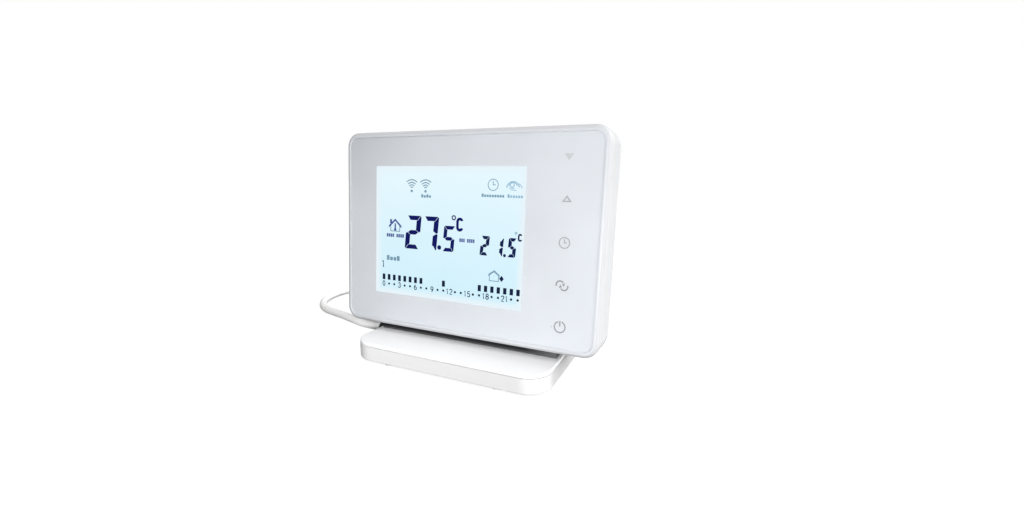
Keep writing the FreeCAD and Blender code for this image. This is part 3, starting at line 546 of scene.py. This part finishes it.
def panel_frame():
    """X across the panel, Y up its slope, Z out of its face; Y is 0 just above the case's foot."""
    lift = next(joint for joint in frame["joints"] if joint["name"] == "thermostat_lift")
    up = Vector(lift["axis"]).normalized()
    out = Vector((0, -up.z, up.y))
    low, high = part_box("touch_glass")
    foot = (low + high) / 2 + out * (GLASS_THICK / 2 + GLASS_SINK) - up * GLASS_MIDDLE
    turn = Matrix((Vector((1, 0, 0)), up, out)).transposed()
    return Matrix.Translation(foot) @ turn.to_4x4()


PANEL = panel_frame()

# Depths of the printed and lit layers under the face, as they appear through the glass.
INK_DEPTH = -0.40 * MM
KEY_DEPTH = -0.36 * MM
LCD_DEPTH = -0.80 * MM
MARK_DEPTH = -0.74 * MM
LAYER_THICK = 0.03 * MM


def rounded(wide, tall, corner, middle=(0, 0), steps=8):
    """The outline of a rectangle with round corners, anticlockwise."""
    points = []
    for quarter, (side, rise) in enumerate(((1, 1), (-1, 1), (-1, -1), (1, -1))):
        for step in range(steps + 1):
            angle = math.pi / 2 * (quarter + step / steps)
            points.append((middle[0] + side * (wide / 2 - corner) + corner * math.cos(angle),
                           middle[1] + rise * (tall / 2 - corner) + corner * math.sin(angle)))
    return points


def ring(middle, radius, steps=32):
    """The outline of a disc."""
    return [(middle[0] + radius * math.cos(math.tau * step / steps),
             middle[1] + radius * math.sin(math.tau * step / steps)) for step in range(steps)]


def bow(middle, across, up, start, end, steps=14):
    """Points along part of an ellipse, from start to end in degrees."""
    angles = [math.radians(start + (end - start) * step / steps) for step in range(steps + 1)]
    return [(middle[0] + across * math.cos(a), middle[1] + up * math.sin(a)) for a in angles]


def arc_band(middle, radius, wide, start, end, steps=20):
    """A strip that follows an arc, from start to end in degrees."""
    outer, inner = (bow(middle, reach, reach, start, end, steps)
                    for reach in (radius + wide / 2, radius - wide / 2))
    return outer + inner[::-1]


def stroke(start, end, wide):
    """A straight strip with square ends."""
    start, end = Vector(start), Vector(end)
    side = (end - start).orthogonal().normalized() * wide / 2
    return [tuple(start - side), tuple(end - side), tuple(end + side), tuple(start + side)]


def flat_piece(name, outlines, depth, material, thick=LAYER_THICK, unit=MM):
    """Closed outlines cut from a thin sheet and laid on the panel; one inside another is a hole.

    The sheet is cut at a scale of millimetres, where small outlines fill cleanly."""
    curve = bpy.data.curves.new(name, "CURVE")
    curve.dimensions = "2D"
    curve.fill_mode = "BOTH"
    curve.extrude = thick / MM / 2
    for outline in outlines:
        spline = curve.splines.new("POLY")
        spline.points.add(len(outline) - 1)
        for point, place in zip(spline.points, outline):
            point.co = (place[0] * unit / MM, place[1] * unit / MM, 0, 1)
        spline.use_cyclic_u = True
    return lay_on_panel(name, curve, Vector((0, 0, depth)), material)


def lay_on_panel(name, curve, place, material, flatten=1.0):
    """A mesh of a curve drawn in millimetres, at its place on the panel; it rides the thermostat."""
    shape = bpy.data.objects.new(name, curve)
    scene.collection.objects.link(shape)
    bpy.context.view_layer.update()
    mesh = bpy.data.meshes.new_from_object(shape)
    bpy.data.objects.remove(shape)
    mesh.transform(Matrix.Diagonal((MM, MM, MM * flatten, 1)))
    mesh.materials.clear()
    mesh.materials.append(material)
    piece = bpy.data.objects.new(name, mesh)
    scene.collection.objects.link(piece)
    piece.matrix_world = PANEL @ Matrix.Translation(place)
    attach(piece, "thermostat")
    return piece


# ================================================================ glass printing


def make_glass_print():
    """The ink behind the glass, with a window left clear for the display, and the bead round it."""
    low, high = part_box("touch_glass")
    outer = rounded(high.x - low.x, GLASS_TALL, GLASS_CORNER, (0, GLASS_MIDDLE))
    window = rounded(WINDOW_WIDE, WINDOW_TALL, WINDOW_CORNER, LCD_MIDDLE)
    flat_piece("glass_print", [outer, window], INK_DEPTH, printed_glass().material, unit=1)
    bead = rounded(high.x - low.x + BEAD_GROWTH, GLASS_TALL + BEAD_GROWTH,
                   GLASS_CORNER + BEAD_GROWTH / 2, (0, GLASS_MIDDLE))
    flat_piece("glass_bead", [bead, outer], -GLASS_SINK - BEAD_THICK, sealing_bead().material,
               thick=BEAD_THICK, unit=1)


# ================================================================ display

DIGITS = {"1": "bc", "2": "abged", "5": "afgcd", "7": "abc"}
SLANT = 0.085


def segment(kind, wide, tall, thick, upright):
    """One bar of a seven-bar digit. Its outer edge is its longest, and its ends are cut aslant."""
    gap = 0.02 * thick
    half, middle = thick / 2, tall / 2
    if kind == "g":
        inner, tip = upright + gap, 0.45 * upright + gap
        return [(tip, middle), (inner, middle + half), (wide - inner, middle + half), (wide - tip, middle),
                (wide - inner, middle - half), (inner, middle - half)]
    if kind in "ad":
        bar = [(0.2 * upright, tall), (wide - 0.2 * upright, tall), (wide - 0.8 * upright, tall - thick),
               (0.8 * upright, tall - thick)]
    else:
        bar = [(0, middle + 0.2 * thick), (0.3 * upright, middle + gap), (upright, middle + half + 2 * gap),
               (upright, tall - 1.12 * thick), (0.72 * upright, tall - thick - gap),
               (0.18 * upright, tall - 0.1 * thick), (0, tall - 0.3 * thick)]
    if kind in "bc":
        bar = [(wide - x, y) for x, y in bar]
    if kind in "ced":
        bar = [(x, tall - y) for x, y in bar]
    return bar


def digit(figure, left, base, wide, tall, thick, upright):
    """A seven-bar digit that leans to the right."""
    bars = [segment(kind, wide, tall, thick, upright) for kind in DIGITS[figure]]
    return [[(left + x + SLANT * y, base + y) for x, y in bar] for bar in bars]


def letter_c(left, base, wide, tall, thick):
    """An open C: two half rings and the stem between them."""
    outer = wide / 2
    middle = left + outer
    top, foot = base + tall - outer, base + outer
    outside, inside = (bow((middle, top), reach, reach, 15, 180, 12)
                       + bow((middle, foot), reach, reach, 180, 345, 12)
                       for reach in (outer, outer - thick))
    return [outside + inside[::-1]]


def hoop(middle, radius, thick):
    """The outer and inner outlines of a round ring."""
    return [ring(middle, radius), ring(middle, radius - thick)]


def greeked(left, right, middle, tall, pattern):
    """A row of small blocks where a caption would stand; it spells nothing.

    In the pattern T is a tall block, x a short one, and a space leaves a gap."""
    pitch = (right - left) / len(pattern)
    blocks = []
    for place, kind in enumerate(pattern):
        if kind != " ":
            high = tall if kind == "T" else 0.72 * tall
            middle_of_block = (left + pitch * (place + 0.5), middle - (tall - high) / 2)
            blocks.append(rounded(0.8 * pitch, high, 0.15 * pitch, middle_of_block, steps=2))
    return blocks


def make_readings():
    """The room's temperature in large figures and the set temperature in small ones."""
    large = {"base": 40.95, "wide": 8.8, "tall": 17.0, "thick": 2.25, "upright": 2.75}
    small = {"thick": 1.55, "upright": 1.75}
    room = digit("2", -32.75, **large) + digit("7", -22.3, **large)
    room += [ring((-11.7, 42.85), 1.15)]
    room += digit("5", -10.05, 41.15, 6.5, 12.7, 1.8, 2.0)
    room += hoop((-3.7, 57.95), 1.25, 0.6)
    room += letter_c(-2.25, 51.4, 4.0, 6.8, 1.4)
    flat_piece("room_reading", room, MARK_DEPTH, crystal("crystal_navy", (0.004, 0.006, 0.075)).material)
    target = digit("2", 11.0, 40.9, 4.5, 9.3, **small) + digit("1", 18.6, 41.0, 4.3, 8.8, **small)
    target += [ring((24.2, 41.65), 0.75)]
    target += digit("5", 25.4, 41.05, 4.15, 9.0, **small)
    target += letter_c(30.6, 48.65, 2.15, 3.6, 0.8)
    flat_piece("set_reading", target, MARK_DEPTH, crystal("crystal_dark", (0.004, 0.008, 0.05)).material)


HOUR_ZERO = -46.0
HOUR_PITCH = 3.385
HOURS = 24
HEATED_HOURS = [*range(0, 8), 11, *range(17, HOURS)]
HOUR_BLOCK_WIDE, HOUR_BLOCK_TALL, HOUR_BLOCK_Y = 1.75, 3.05, 24.85
HOUR_DOT, HOUR_DOT_Y = 0.6, 21.3


def make_day_plan():
    """The day's programme: a block over each heated hour, above a scale of hours."""
    across = [HOUR_ZERO + HOUR_PITCH * hour for hour in range(HOURS)]
    blocks = [rounded(HOUR_BLOCK_WIDE, HOUR_BLOCK_TALL, 0.15, (across[hour], HOUR_BLOCK_Y), steps=2)
              for hour in HEATED_HOURS]
    blocks += [ring((across[hour], HOUR_DOT_Y), HOUR_DOT, 16) for hour in range(HOURS) if hour % 3]
    flat_piece("day_plan", blocks, MARK_DEPTH, crystal("crystal_black", (0.004, 0.009, 0.03)).material)
    dark = crystal("crystal_figure", (0.008, 0.015, 0.05)).material
    for hour in range(0, HOURS, 3):
        make_number(f"hour_{hour}", str(hour), (across[hour], 21.2), 2.7, dark)
    make_number("day_number", "1", (-46.5, 31.6), 3.6, dark)


# The scale's figures as strokes, each in a box FIGURE_WIDE wide and 1 tall.
FIGURE_WIDE = 0.56
FIGURE_PITCH = 0.74
FIGURE_STROKE = 0.085
SIX = [bow((0.28, 0.3), 0.25, 0.28, 0, 360), bow((0.53, 0.32), 0.5, 0.66, 110, 178)]
STROKES = {
    "0": [bow((0.28, 0.5), 0.25, 0.48, 0, 360)],
    "1": [[(0.1, 0.8), (0.3, 0.98), (0.3, 0.02)]],
    "2": [bow((0.28, 0.72), 0.25, 0.26, 170, -35) + [(0.03, 0.02), (0.54, 0.02)]],
    "3": [bow((0.26, 0.745), 0.23, 0.235, 160, -90), bow((0.26, 0.265), 0.26, 0.245, 90, -160)],
    "5": [[(0.5, 0.98), (0.1, 0.98), (0.06, 0.56), *bow((0.27, 0.32), 0.26, 0.3, 125, -155)]],
    "6": SIX,
    "8": [bow((0.28, 0.745), 0.22, 0.235, 0, 360), bow((0.28, 0.265), 0.26, 0.245, 0, 360)],
    "9": [[(FIGURE_WIDE - x, 1 - y) for x, y in line] for line in SIX],
}


def make_number(name, text, middle, tall, material):
    """A number drawn in round strokes pressed flat, centred on a point of the panel."""
    curve = bpy.data.curves.new(name, "CURVE")
    curve.dimensions = "3D"
    curve.bevel_depth = FIGURE_STROKE * tall
    curve.bevel_resolution = 1
    left = -FIGURE_PITCH * len(text) / 2 + (FIGURE_PITCH - FIGURE_WIDE) / 2
    for place, figure in enumerate(text):
        for line in STROKES[figure]:
            spline = curve.splines.new("POLY")
            spline.points.add(len(line) - 1)
            for point, (x, y) in zip(spline.points, line):
                point.co = ((left + FIGURE_PITCH * place + x) * tall, (y - 0.5) * tall, 0, 1)
    place = Vector((middle[0] * MM, middle[1] * MM, MARK_DEPTH))
    lay_on_panel(name, curve, place, material, flatten=0.1)


def signal_icon(x):
    """Four arcs that spread from a dot."""
    spread = 42
    arcs = [arc_band((x, 71.15), radius, 0.52, 90 - spread, 90 + spread)
            for radius in (4.75, 3.4, 2.2, 1.15)]
    return arcs + [ring((x, 70.3), 0.7, 16)]


def clock_icon(middle, radius, thick, hand_up, hand_right):
    """A round dial whose two hands make an L."""
    x, y = middle
    half = thick / 2
    hands = [(x - half, y - half), (x + hand_right, y - half), (x + hand_right, y + half),
             (x + half, y + half), (x + half, y + hand_up), (x - half, y + hand_up)]
    return hoop(middle, radius, thick) + [hands]


def house_outline(x, floor, wall, eave, apex, half, thick):
    """Walls, and a roof that oversails them a little."""
    walls = [(x - wall, eave), (x - wall, floor), (x + wall, floor), (x + wall, eave),
             (x + wall - thick, eave), (x + wall - thick, floor + thick), (x - wall + thick, floor + thick),
             (x - wall + thick, eave)]
    drop = 2.7 * thick
    roof = [(x - half, eave), (x, apex), (x + half, eave), (x + half, eave - drop), (x, apex - drop),
            (x - half, eave - drop)]
    return walls, roof


def make_icons():
    faint = crystal("crystal_faint", (0.13, 0.22, 0.29)).material
    pale = crystal("crystal_pale", (0.2, 0.31, 0.4)).material
    blue = crystal("crystal_blue", (0.045, 0.07, 0.21)).material
    caption = crystal("crystal_caption", (0.06, 0.085, 0.22)).material
    flat_piece("signal_icon", signal_icon(-28.8), MARK_DEPTH, faint)
    network = signal_icon(-20.45) + greeked(-23.1, -17.0, 68.0, 1.6, "TxTx")
    flat_piece("network_icon", network, MARK_DEPTH, faint)
    timer = clock_icon((17.0, 74.1), 2.8, 0.38, 1.8, 1.3) + greeked(11.0, 23.0, 69.2, 1.6, "Txxxxxxxx")
    flat_piece("timer_icon", timer, MARK_DEPTH, faint)
    make_hand_icon(pale)
    make_room_house(faint, blue)
    captions = greeked(-44.5, -33.2, 47.15, 1.8, "TTTT TTTT") + greeked(-0.4, 8.2, 47.25, 1.8, "TTT TTTT")
    flat_piece("reading_captions", captions, MARK_DEPTH, caption)
    flat_piece("week_caption", greeked(-44.4, -35.7, 35.2, 2.6, "TxxT"), MARK_DEPTH, faint)
    make_heat_house(faint)
    flat_piece("set_degree", hoop((29.6, 52.4), 0.65, 0.4), MARK_DEPTH, faint)


def make_hand_icon(material):
    """A hand laid flat: the back of the hand over curled fingers, and a wrist that trails off."""
    x, y = 27.3, 74.1
    strokes = [
        arc_band((x - 0.2, y - 1.6), 3.2, 0.5, 12, 172),
        arc_band((x - 0.2, y - 1.2), 2.3, 0.4, 25, 165),
        arc_band((x + 1.0, y - 2.2), 3.4, 0.4, 15, 60),
        arc_band((x - 0.6, y + 0.1), 1.0, 0.45, 60, 400),
        stroke((x - 2.2, y - 1.3), (x + 0.6, y - 1.5), 0.35),
        stroke((x - 1.4, y - 2.1), (x + 1.6, y - 2.3), 0.35),
    ]
    for place, outline in enumerate(strokes):
        flat_piece(f"hand_{place}", [outline], MARK_DEPTH + place * LAYER_THICK, material)
    flat_piece("hand_caption", greeked(24.4, 32.3, 69.15, 1.6, "Txxxxx"), MARK_DEPTH, material)


def make_room_house(faint, blue):
    """Beside the room's temperature: a house with a chimney and a thermometer inside."""
    x = -38.9
    walls, roof = house_outline(x, 49.2, 3.1, 52.3, 55.9, 4.0, 0.45)
    flat_piece("room_house", [walls], MARK_DEPTH, faint)
    flat_piece("room_roof", [roof], MARK_DEPTH + 2 * LAYER_THICK, blue)
    flat_piece("room_gauge", [rounded(0.85, 3.4, 0.4, (x, 51.8), steps=4)], MARK_DEPTH, blue)
    flat_piece("room_bulb", [ring((x, 50.3), 0.75, 16)], MARK_DEPTH + LAYER_THICK, blue)
    chimney = stroke((x - 2.7, 53.4), (x - 2.7, 55.5), 1.2)
    flat_piece("room_chimney", [chimney], MARK_DEPTH + LAYER_THICK, blue)


def make_heat_house(faint):
    """Above the hours: a small house with a flame, and a diamond beside it."""
    x = 19.15
    walls, roof = house_outline(x, 28.9, 2.6, 32.2, 34.4, 3.0, 0.4)
    flat_piece("heat_house", [walls], MARK_DEPTH, faint)
    flat_piece("heat_roof", [roof], MARK_DEPTH + 2 * LAYER_THICK, faint)
    flame = [(x, 32.0), (x + 0.55, 31.0), (x + 0.75, 30.3), (x + 0.55, 29.8), (x, 29.6),
             (x - 0.55, 29.8), (x - 0.75, 30.3), (x - 0.55, 31.0)]
    flat_piece("heat_flame", [flame], MARK_DEPTH, crystal("crystal_ghost", (0.36, 0.5, 0.58)).material)
    call = [(x + 4.0, 29.05), (x + 5.2, 30.55), (x + 4.0, 32.05), (x + 2.8, 30.55)]
    navy = crystal("crystal_call", (0.004, 0.009, 0.04)).material
    flat_piece("heat_call", [call], MARK_DEPTH + 3 * LAYER_THICK, navy)


def make_display():
    """The lit sheet, a little larger than its window, and the marks in front of it."""
    sheet = rounded(WINDOW_WIDE + 2 * SHEET_OVERLAP, WINDOW_TALL + 2 * SHEET_OVERLAP, WINDOW_CORNER,
                    LCD_MIDDLE)
    flat_piece("display_face", [sheet], LCD_DEPTH, lit_display().material, unit=1)
    make_readings()
    make_day_plan()
    make_icons()


# ================================================================ touch keys

KEY_X = 52.9
KEY_MIDDLE = 49.6
KEY_PITCH = 18.7


def triangle(middle, wide, tall, point_up):
    """A triangle that points up or down, about its centroid."""
    x, y = middle
    rise = 1 if point_up else -1
    return [(x - wide / 2, y - rise * tall / 3), (x + wide / 2, y - rise * tall / 3),
            (x, y + rise * tall * 2 / 3)]


def make_touch_keys():
    """From the foot: on and off, cycle, clock, up and down, printed over the sensing springs."""
    power, cycle, clock, up, down = ((KEY_X, KEY_MIDDLE + KEY_PITCH * place) for place in range(-2, 3))
    grey, light, lighter = (key_ink(name, tone).material for name, tone in
                            (("key_grey", 0.25), ("key_light", 0.33), ("key_lighter", 0.46)))
    x, y = power[0], power[1] - 0.4
    broken_ring = arc_band((x, y), 2.5, 0.6, 90 + 18, 450 - 18, steps=40)
    bar = rounded(0.6, 2.6, 0.2, (x, y + 1.6), steps=3)
    prints = [
        ("key_power", [broken_ring, bar], grey),
        ("key_lamp", [ring((x - 3.9, y - 0.3), 0.28, 16)], light),
        ("key_cycle", cycle_arrows((cycle[0], cycle[1] - 0.3)), grey),
        ("key_clock", clock_icon(clock, 2.65, 0.55, 1.7, 1.1), light),
        ("key_up", [triangle(up, 4.6, 3.0, True), triangle(up, 2.2, 1.35, True)], light),
        ("key_down", [triangle(down, 4.4, 3.0, False)], lighter),
    ]
    for name, outlines, ink in prints:
        flat_piece(name, outlines, KEY_DEPTH, ink)


def cycle_arrows(middle):
    """Two hooked arrows that chase each other."""
    x, y = middle
    parts = []
    for turn in (0, 180):
        spin = math.radians(turn)
        arm = arc_band((-0.95, 0.3), 1.75, 0.7, 35, 200, steps=16)
        head = [(-0.1, 0.6), (1.35, 1.25), (0.9, -0.45)]
        for outline in (arm, head):
            parts.append([(x + px * math.cos(spin) - py * math.sin(spin),
                           y + px * math.sin(spin) + py * math.cos(spin)) for px, py in outline])
    return parts


# ================================================================ cord

# The route and the coil are in millimetres; make_cord turns them into metres.
CORD_WIDE = 4.8 * MM
COIL_MIDDLE = Vector((-100.0, 66.7, 0))
COIL_INNER, COIL_OUTER = 24.7, 29.5
LAYER_LOW, LAYER_HIGH = 2.9, 7.7
TURN_STEPS = 16
CROSSING_START = 0.7
COIL_TURNS = [(COIL_OUTER, LAYER_LOW), (COIL_INNER, LAYER_LOW), (COIL_INNER, LAYER_HIGH),
              (COIL_OUTER, LAYER_HIGH)]
LEAD_ROUTE = [
    (-59, -5.2, 7.8), (-69, -5.2, 7.8), (-80.5, -1.0, 7.2), (-94, 4.8, 6.0), (-108, 10.8, 4.4),
    (-122, 16.6, 3.0), (-134, 24.5, 2.4), (-143, 36, 2.4), (-147.5, 51, 2.4), (-145, 67, 2.4),
    (-136, 81.5, 2.4), (-121, 92.4, 2.4),
]
TAIL_ROUTE = [(-88, 96.6, 7.5), (-76, 97.8, 4.0), (-65, 98.6, 4.0)]


def smooth(share):
    """From 0 to 1 with no kink at either end."""
    return share * share * (3 - 2 * share)


def coil_points():
    """Four turns, clockwise from above; each slides to the next one's radius and layer as it closes."""
    points = []
    for step in range(1, len(COIL_TURNS) * TURN_STEPS):
        turn, part = divmod(step, TURN_STEPS)
        here = COIL_TURNS[turn]
        there = COIL_TURNS[min(turn + 1, len(COIL_TURNS) - 1)]
        crossing = smooth(max(0.0, part / TURN_STEPS - CROSSING_START) / (1 - CROSSING_START))
        radius = here[0] + (there[0] - here[0]) * crossing
        height = here[1] + (there[1] - here[1]) * crossing
        angle = math.pi / 2 - math.tau * step / TURN_STEPS
        points.append(COIL_MIDDLE + Vector((radius * math.cos(angle), radius * math.sin(angle), height)))
    return points


def make_cord():
    """The whole lead on one spline: out of the stand, round behind it, the tied coil and the plug's end."""
    route = [*LEAD_ROUTE, *coil_points(), *TAIL_ROUTE]
    curve = bpy.data.curves.new("cord", "CURVE")
    curve.dimensions = "3D"
    curve.bevel_depth = CORD_WIDE / 2
    curve.bevel_resolution = 6
    curve.resolution_u = 8
    curve.use_fill_caps = True
    spline = curve.splines.new("NURBS")
    spline.points.add(len(route) - 1)
    for point, place in zip(spline.points, route):
        point.co = (*(Vector(place) * MM), 1)
    spline.order_u = 3
    spline.use_endpoint_u = True
    curve.materials.append(vinyl_cord().material)
    cord = bpy.data.objects.new("cord", curve)
    scene.collection.objects.link(cord)
    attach(cord, "stand")
    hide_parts("cord_lead", "cord_coil", "cord_tail")


# ================================================================ build

scene.view_settings.view_transform = "Standard"
make_camera()
make_floor()
make_room()
make_key_light()
dress_nodes()
make_glass_print()
make_display()
make_touch_keys()
make_cord()
